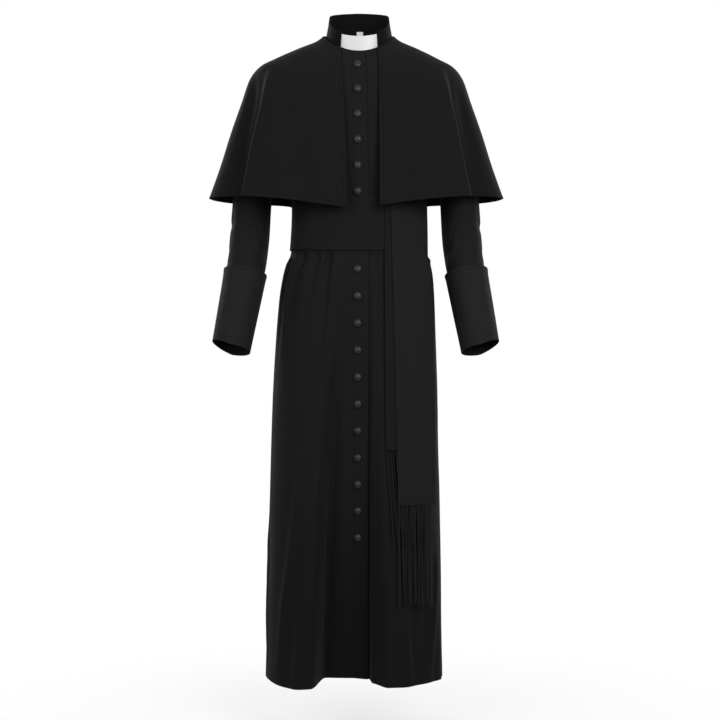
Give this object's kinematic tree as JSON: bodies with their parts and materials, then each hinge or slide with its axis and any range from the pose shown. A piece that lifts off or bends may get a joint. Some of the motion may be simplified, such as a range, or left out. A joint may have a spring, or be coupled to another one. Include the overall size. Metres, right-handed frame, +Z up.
{
  "type": "cassock",
  "caption": "Black clerical cassock with an open-front shoulder cape, a stand collar with a white insert, a covered-button front, turned-back cuffs and a fringed sash.",
  "frame": {"origin": "middle of the neck opening, level with the base of the stand collar", "axes": "+Z up along the garment, -Y the way the wearer faces, +X the wearer's left"},
  "size_m": [0.647, 0.3371, 1.473],
  "materials": {
    "black_twill": "matte black worsted twill",
    "fringe_cord": "twisted black rayon cord",
    "button_satin": "black satin covering, soft sheen",
    "white_insert": "smooth white plastic",
    "label_white": "plain woven white tape"
  },
  "bodies": {
    "root": {"bodice_front_right": "black_twill", "bodice_front_left": "black_twill", "bodice_back": "black_twill", "sleeve_right_top": "black_twill", "sleeve_right_under": "black_twill", "sleeve_left_top": "black_twill", "sleeve_left_under": "black_twill", "cuff_right": "black_twill", "cuff_left": "black_twill", "skirt_front_right": "black_twill", "skirt_front_left": "black_twill", "skirt_back": "black_twill", "cape_front_right": "black_twill", "cape_front_left": "black_twill", "cape_back": "black_twill", "collar": "black_twill", "sash_band": "black_twill", "sash_fall_front": "black_twill", "sash_fall_back": "black_twill", "fringe_front": "fringe_cord", "fringe_back": "fringe_cord", "button_01": "button_satin", "button_02": "button_satin", "button_03": "button_satin", "button_04": "button_satin", "button_05": "button_satin", "button_06": "button_satin", "button_07": "button_satin", "button_08": "button_satin", "button_09": "button_satin", "button_10": "button_satin", "button_11": "button_satin", "button_12": "button_satin", "button_13": "button_satin", "button_14": "button_satin", "button_15": "button_satin", "button_16": "button_satin", "button_17": "button_satin", "collar_insert": "white_insert", "neck_label": "label_white"}
  },
  "joints": []
}
